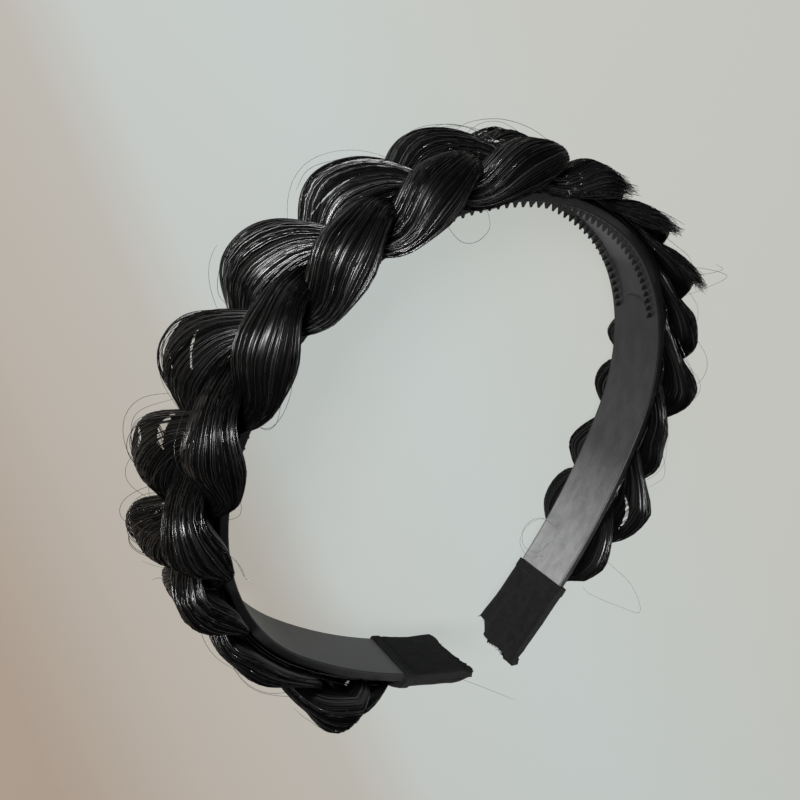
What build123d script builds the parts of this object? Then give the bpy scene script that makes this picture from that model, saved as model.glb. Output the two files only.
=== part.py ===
from build123d import *
from math import asin, cos, pi, radians, sin, tanh
import os

os.makedirs("parts", exist_ok=True)

# Braided headband lying on its side: the crown points to +Y, the open ends to -Y, the left end to -X
# Lengths are millimetres. "along" runs over the arch from the crown, negative to the left end,
# "out" is the distance from the inner face and "across" is the height above the middle of the band

# Inner face of the band: crown arc, side arcs and nearly straight tails
inner_width = 132.0
crown_radius = 70.4
crown_half_width = 52.7
tail_lean = 122.6
tail_radius = 151.0

# Band, bare between the two fabric mouths and smaller where it runs on inside the fabric
band_width = 16.5
band_thickness = 2.3
band_edge_round = 0.5
left_bare_tail = 37.5
right_bare_tail = 52.5
tail_in_fabric = 20.5
mouth_gap = 0.3

# Teeth in two rows inside the crown, with a shallow recess between the rows
tooth_pitch = 2.5
first_tooth_along = -71.25
teeth_in_row = 66
tooth_length = 1.7
tooth_base = 1.6
tooth_breadth = 1.4
tooth_taper = 15.0
tooth_root = 0.5
tooth_row_inset = 2.7
recess_depth = 0.4
recess_margin = 0.55
cut_overshoot = 1.0

# Fabric folded round each end and glued flat beyond the end of the band
cloth_thickness = 1.0
cloth_proud = 0.45
cloth_gap = 0.25
tail_end_gap = 1.6
hair_room = 3.2
hem_width = 3.2
hem_height = 0.2

# Braid: size at the lobes, height of its middle over the band, and length of one turn of the plait
plait_half_width = 17.5
plait_middle_height = 5.05
plait_turn = 57.6
near_lobe_along = -6.0
hair_gap = 0.3
hair_in_fabric = 7.0
hair_stations = 150
section_corners = 12
section_power = 2.2

# How a strand swings, rises and rolls, in shares of half the plait's width, so that
# three of them a third of a turn apart pass each other without touching
swing = 0.614
swing_sharpness = 0.034
rise = 0.157
rise_sharpness = 0.060
half_wide_mean = 0.397
half_wide_change = 0.020
half_thick_mean = 0.207
half_thick_change = 0.0915
half_thick_sharpness = 0.034
roll_angle = 7.0
roll_sharpness_angle = 34.5
middle_height = 0.289
edge_droop = 0.143
seam_shift = 0.2
press_share = 0.16
press_depth = 0.171

# The plait on its way, in shares: "along" of the distance from the crown to the fabric's mouth,
# "width" and "height" of the plait's full size, "shift" upwards of half its width,
# and "lag" behind an even plait of one turn
braid_course = [
    {"along": -1.06, "width": 0.28, "height": 0.15, "shift": 0, "lag": 0},
    {"along": -0.99, "width": 0.34, "height": 0.20, "shift": 0, "lag": 0},
    {"along": -0.95, "width": 0.52, "height": 0.45, "shift": 0.09, "lag": 0},
    {"along": -0.865, "width": 0.95, "height": 1.00, "shift": 0.2, "lag": 0},
    {"along": -0.8, "width": 0.86, "height": 0.62, "shift": 0.17, "lag": 0},
    {"along": -0.74, "width": 0.80, "height": 0.56, "shift": 0.12, "lag": 0.06},
    {"along": -0.66, "width": 0.78, "height": 0.55, "shift": 0.08, "lag": 0.13},
    {"along": -0.58, "width": 0.87, "height": 0.82, "shift": 0.07, "lag": 0.115},
    {"along": -0.5, "width": 1.00, "height": 1.04, "shift": 0.03, "lag": 0.04},
    {"along": -0.36, "width": 1.00, "height": 1.00, "shift": 0.04, "lag": -0.03},
    {"along": -0.09, "width": 1.00, "height": 1.04, "shift": 0.04, "lag": 0},
    {"along": 0.04, "width": 0.93, "height": 1.00, "shift": 0.04, "lag": 0.01},
    {"along": 0.15, "width": 1.02, "height": 0.90, "shift": 0.03, "lag": 0.035},
    {"along": 0.25, "width": 0.88, "height": 0.46, "shift": 0.03, "lag": 0.06},
    {"along": 0.415, "width": 0.82, "height": 0.45, "shift": 0.115, "lag": 0.087},
    {"along": 0.545, "width": 0.79, "height": 0.50, "shift": 0.115, "lag": 0.07},
    {"along": 0.625, "width": 1.00, "height": 0.65, "shift": 0.02, "lag": 0.042},
    {"along": 0.72, "width": 0.78, "height": 0.56, "shift": 0, "lag": 0},
    {"along": 0.825, "width": 1.08, "height": 0.68, "shift": 0, "lag": 0.01},
    {"along": 0.885, "width": 0.92, "height": 0.60, "shift": 0.03, "lag": 0.04},
    {"along": 0.94, "width": 0.80, "height": 0.50, "shift": 0.03, "lag": 0.043},
    {"along": 0.972, "width": 0.64, "height": 0.40, "shift": 0.02, "lag": 0.043},
    {"along": 0.993, "width": 0.34, "height": 0.20, "shift": 0, "lag": 0.043},
    {"along": 1.06, "width": 0.28, "height": 0.15, "shift": 0, "lag": 0.043},
]

# Outer faces of the fabric, in shares: "along" of the hollow that the end of the band lies in,
# "half_width", "low", "shoulder" and "top" of the sleeve's sizes at its mouth
wrap_sections = [
    {"along": 0.00, "half_width": 1.00, "low": 1.00, "shoulder": 1.00, "top": 1.00},
    {"along": 0.48, "half_width": 1.00, "low": 1.00, "shoulder": 1.00, "top": 0.88},
    {"along": 0.66, "half_width": 1.00, "low": 1.00, "shoulder": 1.00, "top": 0.65},
    {"along": 1.00, "half_width": 1.02, "low": 1.00, "shoulder": 1.00, "top": 0.59},
    {"along": 1.11, "half_width": 1.07, "low": -0.22, "shoulder": 0.67, "top": 0.38},
    {"along": 1.47, "half_width": 1.15, "low": -0.22, "shoulder": 0.56, "top": 0.32},
]
hollow_sections = 4

# Cut ends of the fabric from its lower to its upper edge, in shares of the hollow's length
# and of the sleeve's half width
right_cut = [
    {"along": 0.99, "across": -1.30},
    {"along": 1.03, "across": -0.70},
    {"along": 1.24, "across": -0.30},
    {"along": 1.18, "across": 0.34},
    {"along": 1.29, "across": 0.71},
    {"along": 1.37, "across": 1.01},
    {"along": 1.28, "across": 1.30},
]
left_cut = [
    {"along": 1.05, "across": -1.30},
    {"along": 1.10, "across": -0.85},
    {"along": 1.06, "across": -0.37},
    {"along": 1.09, "across": 0.11},
    {"along": 1.15, "across": 0.64},
    {"along": 1.20, "across": 1.01},
    {"along": 1.11, "across": 1.30},
]


def value_at(rows, along, column):
    """Value of one column between the two rows that a place lies between."""
    for first, last in zip(rows, rows[1:]):
        if along <= last["along"]:
            share = (along - first["along"]) / (last["along"] - first["along"])
            return first[column] + share * (last[column] - first[column])
    return rows[-1][column]


# Arch
crown_angle = asin(crown_half_width / crown_radius)
side_end_angle = radians(tail_lean)
side_radius = (inner_width / 2 - crown_half_width) / (1 - sin(crown_angle))
crown_end = crown_radius * crown_angle
side_end = crown_end + side_radius * (side_end_angle - crown_angle)
left_mouth = -side_end - left_bare_tail
right_mouth = side_end + right_bare_tail


def arch_angle(along):
    distance = abs(along)
    if distance < crown_end:
        angle = distance / crown_radius
    elif distance < side_end:
        angle = crown_angle + (distance - crown_end) / side_radius
    else:
        angle = side_end_angle + (distance - side_end) / tail_radius
    return angle if along >= 0 else -angle


def arch_point(along, out=0.0, across=0.0):
    angle = abs(arch_angle(along))
    first = min(angle, crown_angle)
    second = min(max(angle, crown_angle), side_end_angle)
    third = max(angle, side_end_angle)
    x = crown_radius * sin(first) + side_radius * (sin(second) - sin(crown_angle))
    x += tail_radius * (sin(third) - sin(side_end_angle)) + out * sin(angle)
    y = crown_radius * (cos(first) - 1) + side_radius * (cos(second) - cos(crown_angle))
    y += tail_radius * (cos(third) - cos(side_end_angle)) + out * cos(angle)
    return Vector(x if along >= 0 else -x, y, across)


def outward_at(along):
    return Vector(sin(arch_angle(along)), cos(arch_angle(along)), 0)


def onward_at(along):
    return Vector(cos(arch_angle(along)), -sin(arch_angle(along)), 0)


def arch_strip(start, stop, low, high, width):
    """Strip that follows the arch between two distances from its inner face."""
    joints = [-side_end, -crown_end, crown_end, side_end]
    marks = [start] + [joint for joint in joints if start < joint < stop] + [stop]
    edges = [Edge.make_line(arch_point(stop, low), arch_point(stop, high))]
    edges.append(Edge.make_line(arch_point(start, high), arch_point(start, low)))
    for first, last in zip(marks, marks[1:]):
        middle = (first + last) / 2
        for out in (low, high):
            points = [arch_point(place, out) for place in (first, middle, last)]
            edges.append(Edge.make_three_point_arc(*points))
    face = Face(Wire.combine(edges)[0])
    return extrude(face, amount=width / 2, dir=(0, 0, 1), both=True)


# Band
tooth_row_across = band_width / 2 - tooth_row_inset
last_tooth_along = first_tooth_along + (teeth_in_row - 1) * tooth_pitch
recess_half_width = tooth_row_across - tooth_breadth / 2 - recess_margin
tail_inset = cloth_thickness + cloth_gap - cloth_proud


def tooth(along, across):
    foot = arch_point(along, tooth_root, across)
    base = Plane(origin=foot, x_dir=onward_at(along), z_dir=-outward_at(along))
    outline = base * Rectangle(tooth_base, tooth_breadth)
    return extrude(outline, amount=tooth_root + tooth_length, taper=tooth_taper)


def recess():
    """Recess between the rows; each end goes round the tongue of the smooth inner face."""
    ends = (first_tooth_along, last_tooth_along)
    cut = arch_strip(*ends, -cut_overshoot, recess_depth, 2 * recess_half_width)
    for end in ends:
        tongue = Plane(origin=arch_point(end), z_dir=outward_at(end))
        cut -= tongue * Cylinder(recess_half_width, 2 * cut_overshoot + 2 * recess_depth)
    return cut


def build_band():
    bare = arch_strip(left_mouth + mouth_gap, right_mouth - mouth_gap, 0, band_thickness, band_width)
    long_edges = [edge for edge in bare.edges() if edge.length > 2 * band_thickness]
    rims = [edge for edge in long_edges if abs(edge.center().Z) > band_width / 4]
    bare = fillet(rims, band_edge_round)
    tail_width = band_width - 2 * tail_inset
    tail_ends = (left_mouth - tail_in_fabric, right_mouth + tail_in_fabric)
    tails = arch_strip(*tail_ends, tail_inset, band_thickness, tail_width)
    body = bare + tails - recess()
    teeth = []
    for number in range(teeth_in_row):
        along = first_tooth_along + number * tooth_pitch
        for across in (-tooth_row_across, tooth_row_across):
            teeth.append(tooth(along, across))
    return body.fuse(*teeth)


# Braid
def course_at(along, column):
    mouth = right_mouth if along > 0 else -left_mouth
    return value_at(braid_course, along / mouth, column)


def signed_power(value, power):
    return abs(value) ** power * (1 if value > 0 else -1)


def strand_section(along, turn):
    """Corners of one strand's oval, set by how far the plait has turned."""
    width, height_share, shift_share = (course_at(along, column) for column in ("width", "height", "shift"))
    centre = swing * sin(turn) + swing_sharpness * sin(3 * turn)
    level = -rise * sin(2 * turn) - rise_sharpness * sin(4 * turn)
    half_wide = half_wide_mean - half_wide_change * cos(2 * turn)
    half_thick = half_thick_mean - half_thick_change * cos(2 * turn)
    half_thick += half_thick_sharpness * cos(4 * turn)
    tilt = -radians(roll_angle * cos(turn) + roll_sharpness_angle * cos(3 * turn))
    corners = []
    for number in range(section_corners):
        angle = 2 * pi * number / section_corners
        wide = half_wide * signed_power(cos(angle), 2 / section_power)
        thick = half_thick * signed_power(sin(angle), 2 / section_power)
        across = centre + wide * cos(tilt) - thick * sin(tilt)
        height = level + wide * sin(tilt) + thick * cos(tilt)
        height *= 1 - press_share + press_share * tanh(height / press_depth)
        height = 1 + (height - edge_droop * across**2) / middle_height
        across += seam_shift * (1 - across**2)
        out = band_thickness + hair_gap + plait_middle_height * height_share * height
        across = plait_half_width * (across * width + shift_share)
        corners.append(arch_point(along, out, across))
    return corners


def build_strand(number):
    start = left_mouth - hair_in_fabric
    step = (right_mouth + hair_in_fabric - start) / hair_stations
    rings = []
    for station in range(hair_stations + 1):
        along = start + station * step
        turns = (along - near_lobe_along) / plait_turn - course_at(along, "lag")
        rings.append(strand_section(along, 2 * pi * (turns + 1 / 4 + number / 3)))
    faces = [Face(Wire.make_polygon(rings[0])), Face(Wire.make_polygon(rings[-1]))]
    for ring, following in zip(rings, rings[1:]):
        for corner in range(section_corners):
            next_corner = (corner + 1) % section_corners
            a, b = ring[corner], ring[next_corner]
            c, d = following[next_corner], following[corner]
            if (c - a).length > (d - b).length:
                a, b, c, d = b, c, d, a
            faces.append(Face(Wire.make_polygon([a, b, c])))
            faces.append(Face(Wire.make_polygon([a, c, d])))
    return Solid(Shell(faces))


# End wraps
wrap_half_width = band_width / 2 + cloth_proud
wrap_shoulder = band_thickness + hair_gap + cloth_thickness
wrap_top = wrap_shoulder + hair_room
hollow_length = tail_in_fabric + tail_end_gap


def wrap_sleeve(mouth, places, inset):
    """Sleeve lofted over the places, its faces moved inwards by the inset."""
    side = 1 if mouth > 0 else -1
    outlines = []
    for place in places:
        along = mouth + side * hollow_length * place
        half_width = wrap_half_width * value_at(wrap_sections, place, "half_width") - inset
        low = -cloth_proud * value_at(wrap_sections, place, "low") + inset
        shoulder = wrap_shoulder * value_at(wrap_sections, place, "shoulder") - inset
        top = wrap_top * value_at(wrap_sections, place, "top") - inset
        plane = Plane(origin=arch_point(along), x_dir=outward_at(along), z_dir=-onward_at(along))
        with BuildSketch(plane) as outline:
            with BuildLine():
                left, right = (shoulder, -half_width), (shoulder, half_width)
                Polyline(left, (low, -half_width), (low, half_width), right)
                ThreePointArc(right, (top, 0), left)
            make_face()
        outlines.append(outline.sketch)
    return loft(outlines, ruled=True)


def build_wrap(mouth, cut):
    side = 1 if mouth > 0 else -1
    places = [row["along"] for row in wrap_sections]
    body = wrap_sleeve(mouth, places, 0)
    body += wrap_sleeve(mouth, [0, hem_width / hollow_length], -hem_height)
    hollow_start = -cut_overshoot / hollow_length
    body -= wrap_sleeve(mouth, [hollow_start] + places[:hollow_sections], cloth_thickness)
    middle = mouth + side * hollow_length
    onward = side * onward_at(middle)
    base = Plane(origin=arch_point(middle), x_dir=onward, z_dir=onward.cross(Vector(0, 0, 1)))
    with BuildSketch(base) as waste:
        with BuildLine():
            points = [(hollow_length * (row["along"] - 1), wrap_half_width * row["across"]) for row in cut]
            beyond = hollow_length * (places[-1] - 1) + cut_overshoot
            Polyline(*points, (beyond, points[-1][1]), (beyond, points[0][1]), points[0])
        make_face()
    return body - extrude(waste.sketch, amount=wrap_top, both=True)


pieces = {
    "band": build_band(),
    "left_end_wrap": build_wrap(left_mouth, left_cut),
    "right_end_wrap": build_wrap(right_mouth, right_cut),
}
for number in range(3):
    pieces[f"strand_{number + 1}"] = build_strand(number)

# The origin is under the middle of the whole headband, where it rests
whole = Compound(list(pieces.values())).bounding_box()
shift = Vector(-(whole.min.X + whole.max.X) / 2, -(whole.min.Y + whole.max.Y) / 2, -whole.min.Z)
for name, piece in pieces.items():
    export_step(piece.moved(Location(shift)), f"parts/{name}.step")
print("shift of the inner crown point", shift)
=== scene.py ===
from math import asin, cos, pi, radians, sin

import bpy
import numpy as np
from mathutils import Matrix, Vector


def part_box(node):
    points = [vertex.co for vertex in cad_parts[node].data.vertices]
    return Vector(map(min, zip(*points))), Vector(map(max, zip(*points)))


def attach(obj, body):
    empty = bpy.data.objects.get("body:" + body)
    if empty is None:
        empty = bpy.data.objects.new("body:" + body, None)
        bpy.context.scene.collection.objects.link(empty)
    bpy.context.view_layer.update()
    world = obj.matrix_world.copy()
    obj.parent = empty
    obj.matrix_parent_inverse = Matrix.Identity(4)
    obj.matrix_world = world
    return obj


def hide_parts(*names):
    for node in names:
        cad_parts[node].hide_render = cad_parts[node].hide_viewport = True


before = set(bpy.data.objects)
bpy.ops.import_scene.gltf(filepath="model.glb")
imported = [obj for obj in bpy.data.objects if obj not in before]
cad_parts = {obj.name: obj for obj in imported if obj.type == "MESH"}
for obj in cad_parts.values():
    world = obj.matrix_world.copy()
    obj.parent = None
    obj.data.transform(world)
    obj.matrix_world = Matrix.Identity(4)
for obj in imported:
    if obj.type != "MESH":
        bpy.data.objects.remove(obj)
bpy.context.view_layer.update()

chance = np.random.default_rng(11)

# Sizes are millimetres, and the places that the functions give are metres. "along" runs over the
# arch from its crown, negative to the left end, "out" is the distance from the inner face and
# "across" the height over its middle
mm = 0.001

# Arch and band
inner_width = 132.0
crown_radius = 70.4
crown_half_width = 52.7
tail_lean = radians(122.6)
tail_radius = 151.0
band_width = 16.5
band_thickness = 2.3
left_bare_tail = 37.5
right_bare_tail = 52.5
tail_in_fabric = 20.5

# Plait
plait_half_width = 17.5
plait_middle_height = 5.05
plait_turn = 57.6
near_lobe_along = -6.0
hair_gap = 0.3
hair_in_fabric = 7.0
section_power = 2.2
swing, swing_sharpness = 0.614, 0.034
rise, rise_sharpness, dive = 0.185, 0.040, 0.065
half_wide_mean, half_wide_change, widest_turn = 0.385, 0.06, radians(120)
half_thick_mean, half_thick_change, half_thick_sharpness = 0.235, 0.09, 0.02
lean = radians(16.0)
middle_height = 0.289
edge_droop = 0.143
seam_shift = 0.2
press_share, press_depth = 0.16, 0.171
small_step, small_turn = 0.2, 0.02
braid_course = np.array([
    # along, width, height, shift, lag
    (-1.06, 0.28, 0.15, 0, 0),
    (-0.99, 0.34, 0.20, 0, 0),
    (-0.95, 0.52, 0.45, 0.09, 0),
    (-0.865, 0.95, 1.00, 0.2, 0),
    (-0.8, 0.86, 0.62, 0.17, 0),
    (-0.74, 0.80, 0.56, 0.12, 0.06),
    (-0.66, 0.78, 0.55, 0.08, 0.13),
    (-0.58, 0.87, 0.82, 0.07, 0.115),
    (-0.5, 1.00, 1.04, 0.03, 0.04),
    (-0.36, 1.00, 1.00, 0.04, -0.03),
    (-0.09, 1.00, 1.04, 0.04, 0),
    (0.04, 0.93, 1.00, 0.04, 0.01),
    (0.15, 1.02, 0.90, 0.03, 0.035),
    (0.25, 0.88, 0.46, 0.03, 0.06),
    (0.415, 0.82, 0.45, 0.115, 0.087),
    (0.545, 0.79, 0.50, 0.115, 0.07),
    (0.625, 1.00, 0.65, 0.02, 0.042),
    (0.72, 0.78, 0.56, 0, 0),
    (0.825, 1.08, 0.68, 0, 0.01),
    (0.885, 0.92, 0.60, 0.03, 0.04),
    (0.94, 0.80, 0.50, 0.03, 0.043),
    (0.972, 0.64, 0.40, 0.02, 0.043),
    (0.993, 0.34, 0.20, 0, 0.043),
    (1.06, 0.28, 0.15, 0, 0.043),
])
columns = {"width": 1, "height": 2, "shift": 3, "lag": 4}

# Bundles of hair: the grid of one, the way round it as its streaks count it, how deep its ridges'
# middle lies in the strand, and each layer of ridges by height, number round the bundle and length
bundle_stations, bundle_ridges = 440, 140
bundle_round = 46.0
bundle_sink = 0.12
bundle_relief = [(0.16, 11, 34), (0.12, 30, 46), (0.07, 80, 60)]

# Single hairs: how many there are of each kind, how many points each has, and their radius. A pair
# is the least and the most that chance gives, and a spread is that of a normal distribution. Starts
# count from the mouths of the two fabric ends. No hair runs along off_all_hairs, and a hair's ends
# have hair_end_share of its radius
hair_end_share = 0.35
off_all_hairs = np.array([0.3, 0.2, 0.93])

lifted_hairs, lifted_points, lifted_radii = 640, 32, (0.07, 0.125)
lifted_starts, lifted_lengths = (-40, -30), (55, 95)
lifted_angles, lifted_drift_spread = (-0.5, pi + 0.5), 0.12
least_lift, lift_spread, lift_waves = 0.04, 0.05, (3, 9)

loop_hairs, loop_points, loop_radius = 30, 30, 0.07
loop_reaches, loop_shift_spread = (8.5, 11.5), 0.5
loop_angle, loop_angle_spread = radians(128), 0.22
loop_heights, loop_roundness = (0.35, 1.0), 1.3

tuft_hairs, tuft_points, tuft_radius = 220, 9, 0.06
tuft_starts, tuft_on_lobe = (-3, 1.5), 9
tuft_angle, tuft_angle_spread = 0.3, 0.5
tuft_reaches, tuft_reach_spread = (0.35, 1.05), 0.7
tuft_free_start, tuft_free_points = 0.2, 6

under_hairs, under_points, under_radius = 90, 110, 0.22
under_margin, under_width = 2, 0.92
under_sway, under_sway_length = 0.5, 11
under_gap, under_heights = 0.25, (0, 3.2)

stray_hairs, stray_points, stray_radius = 70, 26, 0.045
stray_starts, stray_lengths = (4, -40), (14, 34)
stray_drift_spread, stray_bows = 0.3, (0.8, 3.2)
stray_closed, stray_open_turn = 0.75, 0.55

# Hair's blacks and its gloss, which only some hairs have, as stops of noise or of chance
bundle_blacks = [(0.35, 0.0006), (0.68, (0.0022, 0.0021, 0.0021))]
bundle_gloss = [(0.49, 0.0), (0.60, 0.8)]
single_blacks = [(0.3, 0.0008), (0.7, (0.0026, 0.0025, 0.0025))]
single_gloss = [(0.50, 0.0), (0.95, 0.92)]

# Lobes whose outermost hairs stand off in a loop: the strand, its place along the arch and its lift
loops = [
    (1, -108.0, 1.4), (0, -90.0, 1.8), (2, -73.0, 1.6), (1, -53.5, 1.6), (0, -33.5, 1.0),
    (2, -13.5, 0.8), (1, 7.0, 0.6), (0, 27.0, 1.4),
]

# Near lobes with a frayed tip: the strand, its place along the arch, and the tip in the photograph
tufts = [(1, 37.0, (633, 192)), (0, 56.0, (680, 231)), (2, 76.0, (704, 288))]

# Slits through the lobes, as the photograph shows them: the middle and the half length in its pixels,
# the half width in millimetres, the bend in shares of the half length, and the level over the band.
# Their rims are ragged by noise of this scale and height, and this share of the hairs may cross them
slits = [
    ((161, 431), (-5, 18), 0.75, 0.35, -13.0),
    ((139, 432), (3, 14), 0.34, -0.25, -15.0),
    ((160, 509), (6, -7), 0.40, 0.2, -13.0),
    ((191, 350), (-3, 22), 0.30, 0.2, -12.0),
    ((168, 348), (1, 24), 0.26, 0.2, -16.0),
    ((329, 194), (24, -22), 0.17, -0.15, -12.0),
    ((492, 141), (12, 1), 0.32, 0.2, -12.0),
    ((627, 512), (-2, 16), 0.50, -0.3, 10.0),
]
rim_scale, rim_height = 1400.0, 3.0
crossing_share = 0.2

# Plastic: the band's grey along the arch, with a painted sheen that makes it paler towards the ends,
# which is left out on the teeth and weakened on the side faces as painted shade, then the grey added
# at each depth within the recess's half width, a dark grey on the teeth and a painted reflection on
# the recess floor, and its share along the arch
band_reach = 180.0
band_grey_and_sheen = [(-165, 0.070), (-115, 0.038), (-60, 0.016), (100, 0.013), (137, 0.022), (172, 0.145)]
tooth_depth = -0.3
side_face, side_face_painted_shade = 7.75, 0.8
depth_reach = 2.5
tooth_grey_and_recess_reflection = [(-2.5, 0.006), (-0.4, 0.006), (-0.1, 0.0), (0.15, 0.0), (0.35, 0.155), (0.6, 0.0)]
recess_half_width = 6.6
recess_reflection_fade = [(60, 1.0), (76, 0.05)]

# Loose hairs: the points that each one passes, in pixels of the photograph. The first lies on the
# surface seen within seen_within pixels, and so does the last unless it is further than loose_reach
# from any. Between them a hair rises by loose_rise millimetres for each pixel to its nearer end
loose_points, loose_radius = 40, 0.045
seen_within = 2.5
loose_reach = 14
loose_rise = 0.15
loose_hairs = [
    [(444, 212), (449, 228), (462, 242), (478, 241), (490, 226), (484, 200)],
    [(180, 392), (142, 398), (124, 420), (128, 452), (150, 476)],
    [(176, 398), (138, 412), (131, 440), (140, 470), (160, 486)],
    [(190, 480), (150, 486), (124, 500), (122, 518), (146, 532)],
    [(186, 492), (146, 494), (130, 508), (134, 524), (160, 540)],
    [(200, 566), (176, 584), (160, 578), (152, 580)],
    [(288, 350), (292, 384), (284, 412), (270, 428), (254, 424), (248, 402)],
    [(246, 400), (262, 428), (276, 424), (282, 398)],
    [(240, 240), (222, 262), (218, 292), (232, 310)],
    [(296, 190), (308, 170), (336, 160), (372, 158)],
    [(200, 312), (172, 326), (162, 346), (166, 372), (178, 392)],
    [(452, 132), (470, 122), (500, 119), (530, 128), (556, 146)],
    [(662, 214), (664, 226), (656, 236), (640, 238)],
    [(680, 270), (700, 268), (727, 276), (706, 288), (684, 296)],
    [(676, 262), (696, 274), (722, 270), (716, 264)],
    [(690, 330), (706, 356), (704, 376), (688, 392)],
    [(650, 430), (662, 452), (664, 476), (648, 488)],
    [(596, 552), (612, 566), (632, 586), (640, 612), (618, 606), (590, 594), (582, 586)],
    [(560, 530), (540, 518), (524, 528), (524, 546), (538, 552), (552, 540)],
    [(556, 516), (532, 522), (520, 540), (528, 556), (546, 556)],
    [(440, 672), (464, 680), (490, 690), (515, 700)],
    [(236, 560), (244, 576), (252, 584)],
    [(226, 552), (240, 566), (246, 580)],
]

# Fabric round each end: its sizes, the heights of its hem, creases and torn edge, its weave in
# radians for each millimetre, its blacks, the sleeve's grid and how deep its inner wall goes, and
# where across it a face ends and a side starts
cloth_thickness = 1.0
cloth_proud = 0.45
tail_end_gap = 1.6
hair_room = 3.2
hem_width, hem_height, hem_edge = 2.6, 0.22, 0.25
long_crease, short_crease = 0.22, 0.10
crease_start, crease_full = 0.15, 4.0
torn_height, torn_rows = 0.02, 40
weave_turn = 16.0
cloth_blacks = [(0.3, (0.002, 0.002, 0.0022)), (0.75, (0.007, 0.007, 0.0074))]
sleeve_across, sleeve_up, inner_rings, outer_rings = 44, 8, 24, 120
inner_depth = 0.98
face_edge, side_start = 0.97, 0.9

# Sections of the fabric, in shares of the hollow that the band's end lies in and of the mouth's sizes,
# and the places of its cut end, in the same shares, at shares of its half width times cut_reach
wrap_sections = np.array([
    # along, half width, low, shoulder, top
    (0.00, 1.00, 1.00, 1.00, 1.00),
    (0.48, 1.00, 1.00, 1.00, 0.88),
    (0.66, 1.00, 1.00, 1.00, 0.65),
    (1.00, 1.02, 1.00, 1.00, 0.59),
    (1.11, 1.07, -0.22, 0.67, 0.38),
    (1.47, 1.15, -0.22, 0.56, 0.32),
])
cut_reach = 1.12
right_cut = np.array([
    (-1.30, 0.99), (-0.70, 1.03), (-0.30, 1.24), (0.34, 1.18), (0.71, 1.29), (1.01, 1.37), (1.30, 1.28),
])
left_cut = np.array([
    (-1.30, 1.05), (-0.85, 1.10), (-0.37, 1.06), (0.11, 1.09), (0.64, 1.15), (1.01, 1.20), (1.30, 1.11),
])

# Threads that stand out of the cut, given as the hairs are
fray_threads, fray_points, fray_radius = 70, 6, 0.06
fray_widths, fray_levels = (-1.05, 1.05), (0.3, 1.9)
fray_root, fray_lengths, fray_spread = 0.5, (0.4, 1.9), 0.5

# Floor, in metres, and its glow across the picture, at places in its widths from the middle plus
# glow_slope of its heights up. glow_middle and glow_scale make such a place a share of the fade
floor_half, floor_drop = 2.5, 0.0002
floor_grey = (0.05, 0.05, 0.05, 1)
glow_slope = 0.45
glow_middle, glow_scale = 0.7, 0.8
least_ahead = 0.1
floor_glow = [
    (-0.65, (0.321, 0.246, 0.184)), (-0.45, (0.400, 0.352, 0.300)), (-0.275, (0.420, 0.395, 0.350)),
    (-0.175, (0.470, 0.495, 0.475)), (0.06, (0.475, 0.515, 0.495)), (0.45, (0.484, 0.490, 0.454)),
]

# Room's light, and the lamps by name, place and size in metres, and power in watts
room_colour, room_strength = (0.95, 0.97, 1.0, 1), 0.12
lamps = [
    ("window", (-0.60, 0.62, 0.62), 0.32, 25.0),
    ("ceiling", (0.1, 0.0, 1.1), 0.9, 1.0),
    ("fill", (0.7, -0.5, 0.5), 0.4, 0.8),
]

# Camera, fitted to the band's outline in the photograph: its place from the inner face's crown point,
# its right and up axes, and its focal length in widths of the picture
camera_place = np.array([-89.52, 63.03, 133.54])
camera_right = np.array([0.79956, -0.16453, 0.57761])
camera_up = np.array([0.44182, 0.81258, -0.38014])
focal_length = 1.0
picture_size = 800

# Arch
crown_angle = asin(crown_half_width / crown_radius)
side_radius = (inner_width / 2 - crown_half_width) / (1 - sin(crown_angle))
crown_end = crown_radius * crown_angle
side_end = crown_end + side_radius * (tail_lean - crown_angle)
left_mouth = -side_end - left_bare_tail
right_mouth = side_end + right_bare_tail
band_low, band_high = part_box("band")
crown_point = np.array([
    (band_low.x + band_high.x) / 2,
    band_high.y - band_thickness * mm,
    (band_low.z + band_high.z) / 2,
])


def arch_angle(along):
    """Angle of the arch's normal from the crown's: each arc's length over its radius, added up."""
    distance = np.abs(along)
    side = crown_angle + (distance - crown_end) / side_radius
    tail = tail_lean + (distance - side_end) / tail_radius
    beyond = np.where(distance < side_end, side, tail)
    return np.copysign(np.where(distance < crown_end, distance / crown_radius, beyond), along)


def arch_point(along, out, across):
    """Places on the arch in metres: three arcs laid end to end, plus "out" along their shared normal."""
    turned = arch_angle(along)
    angle = np.abs(turned)
    first = np.minimum(angle, crown_angle)
    second = np.clip(angle, crown_angle, tail_lean)
    third = np.maximum(angle, tail_lean)
    x = crown_radius * np.sin(first) + side_radius * (np.sin(second) - sin(crown_angle))
    x = x + tail_radius * (np.sin(third) - sin(tail_lean)) + out * np.sin(angle)
    y = crown_radius * (np.cos(first) - 1) + side_radius * (np.cos(second) - np.cos(crown_angle))
    y = y + tail_radius * (np.cos(third) - np.cos(tail_lean)) + out * np.cos(angle)
    points = np.stack(np.broadcast_arrays(np.copysign(x, turned), y, across), axis=-1)
    return crown_point + points * mm


# Plait
def course(along, column):
    """One column of the table of the plait's course, read at places along the arch."""
    place = along / np.where(along > 0, right_mouth, -left_mouth)
    return np.interp(place, braid_course[:, 0], braid_course[:, columns[column]])


def signed_power(value, power):
    """Power of a number's size, with the number's sign."""
    return np.sign(value) * np.abs(value) ** power


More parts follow.
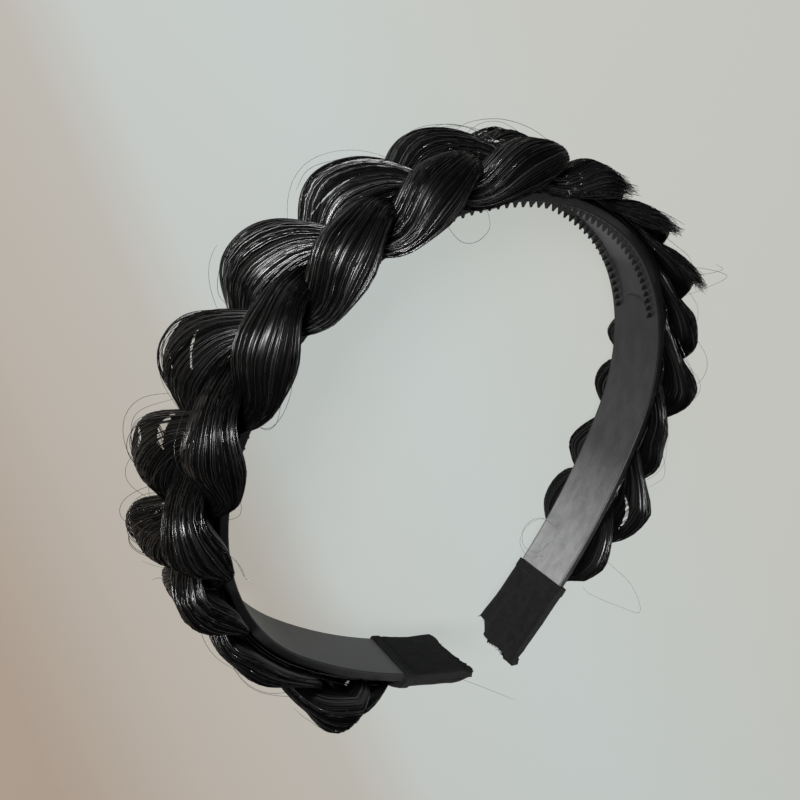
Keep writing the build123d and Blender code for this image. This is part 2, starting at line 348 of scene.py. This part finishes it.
def strand_point(number, along, angle):
    """Surface of one strand. Its middle swings as sin(turn) and rises and falls as sin(2 turn), its
    oval section leans as cos(turn), and the whole plait is pressed down towards the band."""
    turns = (along - near_lobe_along) / plait_turn - course(along, "lag")
    turn = 2 * pi * (turns + 1 / 4 + number / 3)
    centre = swing * np.sin(turn) + swing_sharpness * np.sin(3 * turn)
    level = -rise * np.sin(2 * turn) - dive * np.cos(2 * turn) - rise_sharpness * np.sin(4 * turn)
    half_wide = half_wide_mean + half_wide_change * np.cos(2 * (turn - widest_turn))
    half_thick = half_thick_mean - half_thick_change * np.cos(2 * turn)
    half_thick = half_thick + half_thick_sharpness * np.cos(4 * turn)
    tilt = -lean * np.cos(turn)
    wide = half_wide * signed_power(np.cos(angle), 2 / section_power)
    thick = half_thick * signed_power(np.sin(angle), 2 / section_power)
    across = centre + wide * np.cos(tilt) - thick * np.sin(tilt)
    height = level + wide * np.sin(tilt) + thick * np.cos(tilt)
    height = height * (1 - press_share + press_share * np.tanh(height / press_depth))
    height = 1 + (height - edge_droop * across**2) / middle_height
    out = band_thickness + hair_gap + plait_middle_height * course(along, "height") * height
    across = across + seam_shift * (1 - across**2)
    across = plait_half_width * (across * course(along, "width") + course(along, "shift"))
    return arch_point(along, out, across)


def unit(vectors):
    """Vectors over their lengths, where one of no length stays as it is."""
    return vectors / (np.linalg.norm(vectors, axis=-1, keepdims=True) + 1e-12)


def lifted_point(number, along, angle, lift):
    """Points over a strand's surface, at a height of "lift" along its normal, which is the cross
    product of two short steps on the surface."""
    point = strand_point(number, along, angle)
    onward = strand_point(number, along + small_step, angle) - point
    round_it = strand_point(number, along, angle + small_turn) - point
    return point + unit(np.cross(onward, round_it)) * (np.asarray(lift) * mm)[..., None]


def wave_noise(across, along, rows, length, seed):
    """Smooth noise from -1 to 1 on a random grid of so many rows across, closed on itself, and of a
    given length along, blended by a cosine between its points."""
    stations, start = 64, -200
    grid = np.random.default_rng(seed).uniform(-1, 1, (stations, rows))
    row, station = across * rows, (along - start) / length
    j, i = np.floor(row).astype(int), np.floor(station).astype(int)
    over, onward = (1 - np.cos((row - j) * pi)) / 2, (1 - np.cos((station - i) * pi)) / 2
    low, high = (
        grid[place % stations, j % rows] * (1 - over) + grid[place % stations, (j + 1) % rows] * over
        for place in (i, i + 1)
    )
    return low * (1 - onward) + high * onward


def seen_point(x, y, across):
    """Where the camera's ray through a pixel of the photograph meets the level "across"."""
    forward = np.cross(camera_up, camera_right)
    middle = picture_size / 2
    beside = camera_right * (x - middle) - camera_up * (y - middle)
    ray = forward + beside / (focal_length * picture_size)
    return crown_point + (camera_place + ray * (across - camera_place[2]) / ray[2]) * mm


# Meshes
def add_mesh(name, points, faces, material):
    """Object from an array of points and one of faces, shaded smooth."""
    mesh = bpy.data.meshes.new(name)
    mesh.from_pydata(points.reshape(-1, 3), [], faces)
    mesh.polygons.foreach_set("use_smooth", np.ones(len(mesh.polygons), bool))
    mesh.materials.append(material)
    made = bpy.data.objects.new(name, mesh)
    bpy.context.scene.collection.objects.link(made)
    return made


def write_uv(mesh, uv):
    """The UV map "surface", from one UV for each point of the mesh."""
    corners = np.empty(len(mesh.loops), np.int32)
    mesh.loops.foreach_get("vertex_index", corners)
    layer = mesh.uv_layers.get("surface") or mesh.uv_layers.new(name="surface")
    layer.data.foreach_set("uv", uv.reshape(-1, 2)[corners].ravel().astype(np.float32))


def add_piece(name, points, faces, material, uv):
    """Piece that rides on the headband, with a UV for each point."""
    piece = add_mesh(name, points, faces, material)
    write_uv(piece.data, uv)
    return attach(piece, "root")


def tube_faces(count, stations, sides):
    """Quads of "count" tubes of so many stations and sides, and the faces that close their ends."""
    tube, station, side = np.ogrid[:count, : stations - 1, :sides]
    first = (tube * stations + station) * sides
    following = (side + 1) % sides
    corners = first + side, first + following, first + sides + following, first + sides + side
    quads = np.stack(corners, -1)
    starts = np.arange(count)[:, None] * stations * sides + np.arange(sides)[::-1]
    ends = (np.arange(count)[:, None] * stations + stations - 1) * sides + np.arange(sides)
    return quads.reshape(-1, 4).tolist() + starts.tolist() + ends.tolist()


def add_hairs(name, paths, radius, material):
    """Three-sided tubes along many paths, given as an array of hair, station and place: a ring is
    the path plus the radius along two normals of its direction, and the radius follows the root of a
    sine, thinner towards the ends. The UV is a random number of each hair and the share along it."""
    count, stations = paths.shape[:2]
    sides = 3
    direction = unit(np.gradient(paths, axis=1))
    side = unit(np.cross(direction, off_all_hairs))
    other = np.cross(direction, side)
    turns = np.arange(sides) * 2 * pi / sides
    bulge = np.sqrt(np.sin(np.linspace(0.03, 0.97, stations) * pi))
    taper = hair_end_share + (1 - hair_end_share) * bulge
    size = (np.broadcast_to(radius, (count,))[:, None] * taper)[..., None, None] * mm
    ring = np.cos(turns)[:, None] * side[:, :, None] + np.sin(turns)[:, None] * other[:, :, None]
    uv = np.empty((count, stations, sides, 2))
    uv[..., 0] = chance.uniform(size=count)[:, None, None]
    uv[..., 1] = np.linspace(0, 1, stations)[:, None]
    faces = tube_faces(count, stations, sides)
    return add_piece(name, paths[:, :, None] + size * ring, faces, material, uv)


# Materials
class Number:
    """A socket that does arithmetic: each operator adds one Math node."""

    def __init__(self, shader, socket):
        self.shader, self.socket = shader, socket

    def math(self, operation, *others):
        values = dict(enumerate((self, *others)))
        return self.shader.node("ShaderNodeMath", {"operation": operation}, values).out()

    def __add__(self, other):
        return self.math("ADD", other)

    def __sub__(self, other):
        return self.math("SUBTRACT", other)

    def __rsub__(self, other):
        return self.math("MULTIPLY_ADD", -1.0, other)

    def __mul__(self, other):
        return self.math("MULTIPLY", other)

    def __truediv__(self, other):
        return self.math("DIVIDE", other)

    __radd__, __rmul__ = __add__, __mul__


class Step:
    """One node of a shader, whose outputs are read by name or number."""

    def __init__(self, shader, node):
        self.shader, self.made = shader, node

    def out(self, which=0):
        return Number(self.shader, self.made.outputs[which])


class Shader:
    """A material with a Principled surface, whose sockets paint() feeds. node() adds any other node,
    with its settings and then the values or links of its sockets."""

    def __init__(self, name, **surface):
        self.material = bpy.data.materials.new(name)
        self.material.use_nodes = True
        self.tree = self.material.node_tree
        self.surface = self.tree.nodes["Principled BSDF"]
        self.fill(self.surface, {key.replace("_", " "): value for key, value in surface.items()})

    def fill(self, node, inputs):
        for key, value in inputs.items():
            if isinstance(value, Number):
                self.tree.links.new(value.socket, node.inputs[key])
            else:
                node.inputs[key].default_value = value

    def node(self, kind, settings=None, inputs=None):
        node = self.tree.nodes.new(kind)
        for key, value in (settings or {}).items():
            if key == "stops":
                elements = node.color_ramp.elements
                for count, (place, colour) in enumerate(value):
                    element = elements[count] if count < 2 else elements.new(place)
                    element.position, element.color = place, (*colour, 1)
            else:
                setattr(node, key, value)
        self.fill(node, inputs or {})
        return Step(self, node)

    def place_in_object(self):
        return self.node("ShaderNodeTexCoord").out("Object")

    def place_on_surface(self):
        return self.node("ShaderNodeUVMap", {"uv_map": "surface"}).out()

    def split(self, vector):
        """The three numbers of a vector."""
        parts = self.node("ShaderNodeSeparateXYZ", None, {"Vector": vector})
        return [parts.out(axis) for axis in range(3)]

    def distance(self, place, origin, axis):
        """How far a place lies from an origin along an axis, as the difference of two dot products."""
        dot = self.node("ShaderNodeVectorMath", {"operation": "DOT_PRODUCT"}, {0: place, 1: tuple(axis)})
        return dot.out("Value") - float(origin @ axis)

    def noise(self, place, scale, stretch=(1, 1, 1), detail=2.0):
        stretched = self.node("ShaderNodeMapping", None, {"Vector": place, "Scale": stretch}).out()
        inputs = {"Vector": stretched, "Scale": scale, "Detail": detail}
        return self.node("ShaderNodeTexNoise", None, inputs).out()

    def ramp(self, value, stops):
        """Colour that goes from stop to stop as a value goes from 0 to 1. A bare number is a grey."""
        colours = [(place, tint if isinstance(tint, tuple) else (tint,) * 3) for place, tint in stops]
        return self.node("ShaderNodeValToRGB", {"stops": colours}, {"Fac": value}).out()

    def greys(self, value, stops, reach):
        """Grey that goes from stop to stop as a value goes from minus to plus its reach."""
        stops = [(0.5 + 0.5 * place / reach, grey) for place, grey in stops]
        return self.ramp(value * (0.5 / reach) + 0.5, stops)

    def bump(self, height, depth):
        inputs = {"Strength": 1.0, "Distance": depth * mm, "Height": height}
        self.paint("Normal", self.node("ShaderNodeBump", None, inputs).out())

    def paint(self, key, value):
        self.fill(self.surface, {key: value})


def slit_axes():
    """For each slit its middle, its axes along and across, each over its half size, and its bend. It
    runs through the hair along the ray on which the photograph shows it."""
    axes = []
    for middle, reach, half_width, bend, across in slits:
        centre = seen_point(*middle, across)
        through = centre - crown_point - camera_place * mm
        through /= np.linalg.norm(through)
        reach = seen_point(middle[0] + reach[0], middle[1] + reach[1], across) - centre
        reach -= through * (reach @ through)
        half_length = np.linalg.norm(reach)
        beside = np.cross(reach, through) / (half_length * half_width * mm)
        axes.append((centre, reach / half_length**2, beside, bend * half_length / (half_width * mm)))
    return axes


def outside_slits(paths):
    """Which hairs stay: those that keep clear of all slits, where the sum of the squares of a point's
    two shares is above 1, and a few others."""
    clear = np.ones(len(paths), bool)
    for centre, along, beside, bend in slit_axes():
        first, second = (paths - centre) @ along, (paths - centre) @ beside
        clear &= (first**2 + (second - bend * first**2) ** 2 > 1.0).all(axis=1)
    return clear | (chance.uniform(size=len(paths)) < crossing_share)


def slit_mask(shader):
    """1 inside any slit, which is an oval bent by the square of its first share, where the sum of the
    squares of the two shares and a noise is below 1."""
    place = shader.place_in_object()
    ragged = shader.noise(place, rim_scale) * rim_height - rim_height / 2
    mask = 0.0
    for centre, along, beside, bend in slit_axes():
        first, second = (shader.distance(place, centre, axis) for axis in (along, beside))
        second = second - first * first * bend
        inside = (first * first + second * second + ragged).math("LESS_THAN", 1.0)
        mask = inside.math("MAXIMUM", mask)
    return mask


def hair_finish(name, shift):
    """Sleek black hair: noise drawn out along the strand, which the shift makes another for each
    strand, gives streaks of relief, colour and gloss. The coat is the gloss of single hairs."""
    shader = Shader(name, Specular_IOR_Level=0.02, Coat_Roughness=0.27, Coat_IOR=1.7)
    places = {0: shader.place_on_surface(), 1: (shift, 0, 0)}
    place = shader.node("ShaderNodeVectorMath", {"operation": "ADD"}, places).out()
    locks = shader.noise(place, 1.0, (0.9, 0.015, 1))
    streaks = shader.noise(place, 1.0, (2.8, 0.012, 1))
    threads = shader.noise(place, 1.0, (6.0, 0.02, 1))
    shader.bump(locks * 0.7 + streaks * 0.6 + threads * 0.15, 0.5)
    shade = streaks * 0.45 + threads * 0.55
    shader.paint("Base Color", shader.ramp(shade, bundle_blacks))
    shader.paint("Roughness", 0.62 - shade * 0.55)
    shader.paint("Coat Weight", shader.ramp(shade, bundle_gloss))
    shader.paint("Alpha", 1.0 - slit_mask(shader))
    return shader.material


def single_hair_finish():
    """Single black hairs, of which some are glossy: the first UV value is each hair's own."""
    shader = Shader("loose_black_hair", Specular_IOR_Level=0.03, Coat_Roughness=0.30, Coat_IOR=2.1)
    own = shader.split(shader.place_on_surface())[0]
    patches = shader.noise(shader.place_in_object(), 220.0)
    shader.paint("Base Color", shader.ramp(patches, single_blacks))
    shader.paint("Roughness", 0.25 + patches * 0.3)
    shader.paint("Coat Weight", shader.ramp(own, single_gloss))
    return shader.material


def plastic_finish():
    """Satin black plastic, mottled along the arch, with a painted sheen that makes it paler towards its
    ends, painted shade on its side faces, a painted reflection on the recess floor, and dark teeth.
    Its UV is the place along the arch and the distance from the inner face."""
    shader = Shader("satin_black_plastic", Specular_IOR_Level=0.34)
    along, out = shader.split(shader.place_on_surface())[:2]
    height = shader.split(shader.place_in_object())[2] * (1 / mm)
    unrolled = shader.node("ShaderNodeCombineXYZ", None, {0: along, 1: height}).out()
    cloud = shader.noise(unrolled, 1.0, (0.16, 0.35, 1), detail=5.0)
    grain = shader.noise(unrolled, 1.0, (0.9, 2.2, 1), detail=3.0)
    from_middle = (height - float(crown_point[2]) / mm).math("ABSOLUTE")
    plain = out.math("GREATER_THAN", tooth_depth)
    # The side faces are darkened as painted shade
    plain = plain * (1.0 - from_middle.math("GREATER_THAN", side_face) * side_face_painted_shade)
    # Painted reflection on the recess floor, fading along the arch, plus a dark grey on the teeth
    extra = shader.greys(out, tooth_grey_and_recess_reflection, depth_reach) * shader.greys(along, recess_reflection_fade, band_reach)
    extra = extra * from_middle.math("LESS_THAN", recess_half_width)
    # The grey along the arch holds a painted sheen, paler towards the ends
    grey = shader.greys(along, band_grey_and_sheen, band_reach) * plain + extra
    shader.paint("Base Color", grey * (0.3 + cloud + grain * 0.4))
    shader.paint("Roughness", 0.32 + cloud * 0.2 + grain * 0.1)
    shader.bump(grain + cloud, 0.05)
    return shader.material


def dress_band(node):
    """UV and finish of the band: the centre of each arc gives the angle and the distance of a point
    from it, and a point belongs to the arc that it is nearest to."""
    mesh = node.data
    points = np.empty(len(mesh.vertices) * 3)
    mesh.vertices.foreach_get("co", points)
    world = np.array(node.matrix_world)
    points = (points.reshape(-1, 3) @ world[:3, :3].T + world[:3, 3] - crown_point) / mm
    along, out = np.zeros(len(points)), np.full(len(points), 1e9)
    for radius, start, first, last in (
        (crown_radius, 0.0, 0.0, crown_angle),
        (side_radius, crown_end, crown_angle, tail_lean),
        (tail_radius, side_end, tail_lean, pi),
    ):
        place = (arch_point(start, 0, 0) - crown_point) / mm
        over = np.abs(points[:, 0]) - place[0] + radius * sin(first)
        up = points[:, 1] - place[1] + radius * cos(first)
        angle, distance = np.arctan2(over, up), np.hypot(over, up) - radius
        here = (angle >= first - 1e-6) & (angle <= last + 1e-6) & (np.abs(distance) < np.abs(out))
        along = np.where(here, start + radius * (angle - first), along)
        out = np.where(here, distance, out)
    write_uv(mesh, np.stack([np.copysign(along, points[:, 0]), out], -1))
    finish = plastic_finish()
    for slot in node.material_slots:
        slot.material = finish


def cloth_finish():
    """Matt woven fabric: two sets of threads that cross, as sines of the surface's own millimetres."""
    shader = Shader("matt_black_fabric", Specular_IOR_Level=0.1, Sheen_Weight=0.03, Sheen_Roughness=0.5)
    place = shader.place_on_surface()
    warp, weft = ((number * weave_turn).math("SINE") for number in shader.split(place)[:2])
    threads = warp * weft
    wear = shader.noise(place, 0.5, detail=5.0)
    fuzz = shader.noise(place, 9.0)
    shader.paint("Base Color", shader.ramp(wear * 0.7 + fuzz * 0.3, cloth_blacks))
    shader.paint("Roughness", 0.78 + fuzz * 0.2)
    shader.bump(threads * 0.35 + fuzz * 0.5 + wear, 0.16)
    return shader.material


# Plait pieces
def build_strand(number):
    """Bundle of ridges: the strand's surface, raised and lowered by noise drawn out along it."""
    ends = left_mouth - hair_in_fabric, right_mouth + hair_in_fabric
    along = np.linspace(*ends, bundle_stations)[:, None]
    share = np.arange(bundle_ridges)[None, :] / bundle_ridges
    angle = share * 2 * pi - pi / 2
    relief = sum(
        height * wave_noise(share, along, rows, length, seed)
        for seed, (height, rows, length) in enumerate(bundle_relief, 3 * number + 1)
    )
    points = lifted_point(number, along + 0 * share, angle + 0 * along, relief - bundle_sink)
    uv = np.stack(np.broadcast_arrays(share * bundle_round, along), -1)
    faces = tube_faces(1, bundle_stations, bundle_ridges)
    finish = hair_finish(f"sleek_black_hair_{number + 1}", 100.0 * number)
    piece = add_piece(f"strand_{number + 1}_bundle", points, faces, finish, uv)
    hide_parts(f"strand_{number + 1}")
    return piece


def build_lifted_hairs(number, finish):
    """Single hairs that lie on a strand or stand a little off it. The angle round it drifts evenly
    from end to end, and the lift rises and falls as the square of a sine."""
    each = (lifted_hairs, 1)
    length = chance.uniform(*lifted_lengths, each)
    start = chance.uniform(left_mouth + lifted_starts[0], right_mouth + lifted_starts[1], each)
    share = np.linspace(0, 1, lifted_points)[None, :]
    along = np.clip(start + length * share, left_mouth, right_mouth)
    angle = chance.uniform(*lifted_angles, each) + chance.normal(0, lifted_drift_spread, each) * share
    highest = np.abs(chance.normal(0, lift_spread, each))
    lift = least_lift + highest * np.sin(share * pi * chance.uniform(*lift_waves, each)) ** 2
    paths = lifted_point(number, along, angle, lift)
    paths = paths[outside_slits(paths)]
    radius = chance.uniform(*lifted_radii, len(paths))
    return add_hairs(f"strand_{number + 1}_hairs", paths, radius, finish)


def build_loops(finish):
    """Locks that stand off the outermost lobes: the lift rises and falls as a power of a sine."""
    paths = []
    each = (loop_hairs, 1)
    share = np.linspace(0, 1, loop_points)[None, :]
    for number, middle, lift in loops:
        reach = chance.uniform(*loop_reaches, each)
        along = middle + chance.normal(0, loop_shift_spread, each) + reach * (2 * share - 1)
        angle = chance.normal(loop_angle, loop_angle_spread, each) + 0 * share
        height = lift * chance.uniform(*loop_heights, each) * np.sin(share * pi) ** loop_roundness
        paths.append(lifted_point(number, along, angle, height))
    paths = np.concatenate(paths)
    paths = paths[outside_slits(paths)]
    return add_hairs("lobe_loops", paths, loop_radius, finish)


def build_tufts(finish):
    """Frayed tips: hairs that lie on a lobe, leave it and bend to its tip, each along a quadratic
    Bezier curve whose middle point lies straight on from the lobe, half as far as the tip."""
    paths = []
    each = (tuft_hairs, 1)
    steps = np.linspace(-tuft_on_lobe, 0, tuft_points)[None, :]
    t = np.linspace(tuft_free_start, 1, tuft_free_points)[None, :, None]
    for number, place, tip in tufts:
        along = place + chance.uniform(*tuft_starts, each) + steps
        angle = chance.normal(tuft_angle, tuft_angle_spread, each) + 0 * steps
        body = lifted_point(number, along, angle, tuft_radius + 0 * along)
        start = body[:, -1]
        level = (start[:, 2:] - crown_point[2]) / mm
        reach = (seen_point(*tip, level) - start) * chance.uniform(*tuft_reaches, each)
        reach += chance.normal(0, tuft_reach_spread * mm, reach.shape)
        middle = unit(start - body[:, -2]) * np.linalg.norm(reach, axis=1, keepdims=True) / 2
        curve = 2 * t * (1 - t) * middle[:, None] + t**2 * reach[:, None]
        paths.append(np.concatenate([body, body[:, -1:] + curve], axis=1))
    piece = add_hairs("frayed_tips", np.concatenate(paths), tuft_radius, finish)
    return piece


def build_under_hairs(finish):
    """Hair under the plait, along the band's outer face, that closes the chinks beneath the lobes:
    it sways as a sine, and its height follows the plait's."""
    each = (under_hairs, 1)
    ends = left_mouth + under_margin, right_mouth - under_margin
    along = np.linspace(*ends, under_points)[None, :]
    across = chance.uniform(-under_width, under_width, each) * band_width / 2
    across = across + under_sway * np.sin(along / under_sway_length + chance.uniform(0, 6.3, each))
    height = under_gap + chance.uniform(*under_heights, each) * course(along, "height")
    out = band_thickness + hair_gap + height
    piece = add_hairs("under_hairs", arch_point(along, out, across), under_radius, finish)
    return piece


def build_stray_hairs(finish):
    """Fine hairs that leave a strand, bow out as a sine and come back to it, or end in the air."""
    each = (stray_hairs, 1)
    strand = chance.integers(0, 3, stray_hairs)
    share = np.linspace(0, 1, stray_points)[None, :]
    length = chance.uniform(*stray_lengths, each)
    start = chance.uniform(left_mouth + stray_starts[0], right_mouth + stray_starts[1], each)
    along = start + length * share
    angle = chance.uniform(0, pi, each) + chance.normal(0, stray_drift_spread, each) * share
    bow = chance.uniform(*stray_bows, each)
    turn = pi * np.where(chance.uniform(size=each) < stray_closed, 1.0, stray_open_turn)
    height = bow * np.sin(share * turn)
    paths = np.concatenate([
        lifted_point(number, along[strand == number], angle[strand == number], height[strand == number])
        for number in range(3)
    ])
    return add_hairs("stray_hairs", paths, stray_radius, finish)


def smooth_path(points, count):
    """Catmull-Rom curve through points, at so many even steps of its parameter."""
    padded = np.concatenate([2 * points[:1] - points[1:2], points, 2 * points[-1:] - points[-2:-1]])
    place = np.linspace(0, len(points) - 1, count)
    first = np.minimum(place.astype(int), len(points) - 2)
    t = (place - first)[:, None]
    a, b, c, d = (padded[first + step] for step in range(4))
    slope, bend, twist = c - a, 2 * a - 5 * b + 4 * c - d, 3 * b - a - 3 * c + d
    return (2 * b + slope * t + bend * t**2 + twist * t**3) / 2


def seen_surface():
    """Points all over the plait and the outer face of band and fabric: the pixels of the photograph
    where each is seen, how far it is ahead of the camera, and its level over the band's middle."""
    along = np.linspace(left_mouth, right_mouth, 900)[:, None]
    around = np.linspace(0, 2 * pi, 60)[None, :]
    across = wrap_half_width * np.linspace(-1, 1, 40)[None, :]
    past_mouths = 1.15
    parts = [strand_point(number, along, around) for number in range(3)]
    parts.append(arch_point(along * past_mouths, band_thickness, across))
    surface = (np.concatenate([part.reshape(-1, 3) for part in parts]) - crown_point) / mm
    seen = surface - camera_place
    ahead = seen @ np.cross(camera_up, camera_right)
    scale = focal_length * picture_size / ahead
    x = picture_size / 2 + (seen @ camera_right) * scale
    y = picture_size / 2 - (seen @ camera_up) * scale
    return np.stack([x, y], -1), ahead, surface[:, 2]


def foremost(distance, ahead):
    """Number of the point nearest to the camera of those within seen_within pixels, or else of the
    one that is the fewest pixels away."""
    if distance.min() > seen_within:
        return np.argmin(distance)
    return np.argmin(np.where(distance > seen_within, np.inf, ahead))


def build_loose_hairs(finish):
    """The loose hairs that the photograph shows. Each end takes the level of the surface that it is
    seen on, and a free end that of the other. Between the ends the level changes evenly, with the
    rise added, and the hair is a Catmull-Rom curve."""
    pixels, ahead, levels = seen_surface()
    paths = []
    for places in map(np.array, loose_hairs):
        ends = places[0], places[-1]
        distances = [np.hypot(*(pixels - end).T) for end in ends]
        first, last = (foremost(distance, ahead) for distance in distances)
        free = distances[1][last] > loose_reach
        from_ends = [np.hypot(*(places - end).T) for end in ends]
        rise = loose_rise * (from_ends[0] if free else np.minimum(*from_ends))
        heights = np.linspace(levels[first], levels[first if free else last], len(places)) + rise
        points = np.array([seen_point(*place, height) for place, height in zip(places, heights)])
        paths.append(smooth_path(points, loose_points))
    return add_hairs("loose_hairs", np.array(paths), loose_radius, finish)


# Fabric ends
hollow_length = tail_in_fabric + tail_end_gap
wrap_half_width = band_width / 2 + cloth_proud
wrap_shoulder = band_thickness + hair_gap + cloth_thickness
wrap_top = wrap_shoulder + hair_room


def sleeve_outline(flat_points, side_points):
    """Closed outline of the sleeve as shares: how far across, up its side, and up its crown, which
    is 1 - across squared. A running average rounds its corners."""
    over = np.linspace(-1, 1, flat_points)
    up = np.linspace(0, 1, side_points + 2)[1:-1]
    one, nought = np.ones(flat_points), np.zeros(flat_points)
    across = np.concatenate([over, np.ones(side_points), over[::-1], -np.ones(side_points)])
    side = np.concatenate([nought, up, one, up[::-1]])
    crown = np.concatenate([nought, 0 * up, 1 - over[::-1] ** 2, 0 * up])
    shape = np.stack([across, side, crown])
    for _ in range(3):
        shape = (np.roll(shape, 1, 1) + 2 * shape + np.roll(shape, -1, 1)) / 4
    return shape


def hem_relief(from_mouth):
    """Height of the hem: full over its width from the mouth, then down to nothing in an even slope."""
    return hem_height * (1 - np.clip((from_mouth - hem_width) / hem_edge, 0, 1))


def crease_relief(across, up, from_mouth, seed):
    """Long and short creases, slanted, as two layers of noise that grow from the mouth on."""
    long = wave_noise(np.abs(across + 0.4 * up) * 0.3, from_mouth + 3 * across, 9, 6.0, seed + 1)
    short = wave_noise(np.abs(across) * 0.5, from_mouth + 8 * up, 24, 2.5, seed + 2)
    creases = long_crease * long + short_crease * short
    return creases * np.clip(from_mouth / crease_full, crease_start, 1)


def build_wrap(name, mouth, cut, finish, seed):
    """Sleeve of fabric as one closed sheet: out along its inner wall to the mouth, back along its
    outer wall to the torn cut, which is further along where the cut's table says."""
    side = np.sign(mouth)
    across, up, crown = sleeve_outline(sleeve_across, sleeve_up)
    inner = np.linspace(inner_depth, 0, inner_rings)[:, None]
    outer = np.linspace(0, 1, outer_rings)[:, None]
    torn = torn_height * wave_noise(np.abs(across), 0 * across, torn_rows, 1.0, seed)
    cut_place = np.interp(across * cut_reach, cut[:, 0], cut[:, 1]) + torn
    place = np.concatenate([inner + 0 * across, outer * cut_place])
    wall = np.concatenate([cloth_thickness + 0 * inner, 0 * outer])
    sizes = [np.interp(place, wrap_sections[:, 0], wrap_sections[:, column]) for column in range(1, 5)]
    width = (wrap_half_width * sizes[0] - wall) * across
    low = wall - cloth_proud * sizes[1]
    shoulder = wrap_shoulder * sizes[2] - wall
    top = wrap_top * sizes[3] - wall
    out = low + (shoulder - low) * up + (top - shoulder) * crown
    from_mouth = hollow_length * place
    proud = (wall == 0) * (hem_relief(from_mouth) + crease_relief(across, up, from_mouth, seed))
    out = out + proud * (up - 0.5) * 2 * (np.abs(across) < face_edge)
    width = width + proud * across * (np.abs(across) > side_start)
    points = arch_point(mouth + side * from_mouth, out, width)
    if side < 0:
        points = points[:, ::-1]
    aside = np.diff(across, prepend=across[0]) * wrap_half_width
    upward = np.diff(up, prepend=up[0]) * wrap_shoulder
    uv = np.stack(np.broadcast_arrays(np.cumsum(np.hypot(aside, upward)), from_mouth), -1)
    piece = add_piece(f"{name}_cloth", points, tube_faces(1, *points.shape[:2]), finish, uv)
    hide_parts(name)
    return piece


def build_fray(name, mouth, cut, finish):
    """Threads that stand out of the torn cut: they bend aside as the square of the share along them."""
    each = (fray_threads, 1)
    across = chance.uniform(*fray_widths, each)
    share = np.linspace(0, 1, fray_points)[None, :]
    length = chance.uniform(*fray_lengths, each)
    cut_place = np.interp(across * cut_reach, cut[:, 0], cut[:, 1])
    from_mouth = cut_place * hollow_length - fray_root + length * share
    out = chance.uniform(*fray_levels, each) + chance.normal(0, fray_spread, each) * share**2
    width = across * wrap_half_width + chance.normal(0, fray_spread, each) * share**2
    paths = arch_point(mouth + np.sign(mouth) * from_mouth, out, width)
    return add_hairs(f"{name}_fray", paths, fray_radius, finish)


# Studio: pale floor, soft light, camera
def floor_finish():
    """Dark paint under a painted glow, which gives the floor its pale brightness in place of light
    falling on it and fades from a warm to a cool grey. A point's place in the fade is its distance aside
    over its distance ahead, both as seen from the photograph's side."""
    shader = Shader("pale_floor", Roughness=0.9, Specular_IOR_Level=0.1, Emission_Strength=1.0)
    shader.paint("Base Color", floor_grey)
    place = shader.place_in_object()
    origin = crown_point + camera_place * mm
    aside = shader.distance(place, origin, camera_right + glow_slope * camera_up)
    ahead = shader.distance(place, origin, np.cross(camera_up, camera_right))
    share = aside / ahead.math("MAXIMUM", least_ahead) * focal_length
    stops = [(glow_middle + glow_scale * step, glow) for step, glow in floor_glow]
    # The floor's brightness is a painted glow, fading from warm to cool
    shader.paint("Emission Color", shader.ramp(share * glow_scale + glow_middle, stops))
    return shader.material


def build_studio():
    """Floor, dim room, a small bright window, a wide ceiling and a weak fill."""
    corners = np.array([(-1, -1), (1, -1), (1, 1), (-1, 1)]) * floor_half
    corners = np.pad(corners, ((0, 0), (0, 1)), constant_values=-floor_drop)
    add_mesh("floor", corners, [(0, 1, 2, 3)], floor_finish())
    world = bpy.data.worlds.new("soft_room")
    world.use_nodes = True
    room = world.node_tree.nodes["Background"].inputs
    room["Color"].default_value, room["Strength"].default_value = room_colour, room_strength
    bpy.context.scene.world = world
    for name, place, size, power in lamps:
        lamp = bpy.data.lights.new(name, "AREA")
        lamp.shape, lamp.size, lamp.energy = "SQUARE", size, power
        light = bpy.data.objects.new(name, lamp)
        light.location = place
        light.rotation_euler = (-Vector(place)).to_track_quat("-Z", "Y").to_euler()
        bpy.context.scene.collection.objects.link(light)


def build_camera():
    """Camera at the photograph's angle, with its back towards the cross product of right and up."""
    lens = bpy.data.cameras.new("camera")
    lens.sensor_width = 36.0
    lens.lens = focal_length * lens.sensor_width
    lens.clip_start = 0.01
    camera = bpy.data.objects.new("camera", lens)
    axes = np.array([camera_right, camera_up, np.cross(camera_right, camera_up)]).T
    eye = Vector(crown_point + camera_place * mm)
    camera.matrix_world = Matrix.Translation(eye) @ Matrix(axes.tolist()).to_4x4()
    bpy.context.scene.collection.objects.link(camera)
    bpy.context.scene.camera = camera


single_hair = single_hair_finish()
for number in range(3):
    build_strand(number)
    build_lifted_hairs(number, single_hair)
for build in (build_loops, build_tufts, build_under_hairs, build_stray_hairs, build_loose_hairs):
    build(single_hair)
cloth = cloth_finish()
for name, mouth, cut, seed in (
    ("left_end_wrap", left_mouth, left_cut, 21),
    ("right_end_wrap", right_mouth, right_cut, 31),
):
    build_wrap(name, mouth, cut, cloth, seed)
    build_fray(name, mouth, cut, cloth)
dress_band(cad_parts["band"])
build_studio()
build_camera()
bpy.context.scene.view_settings.view_transform = "Standard"
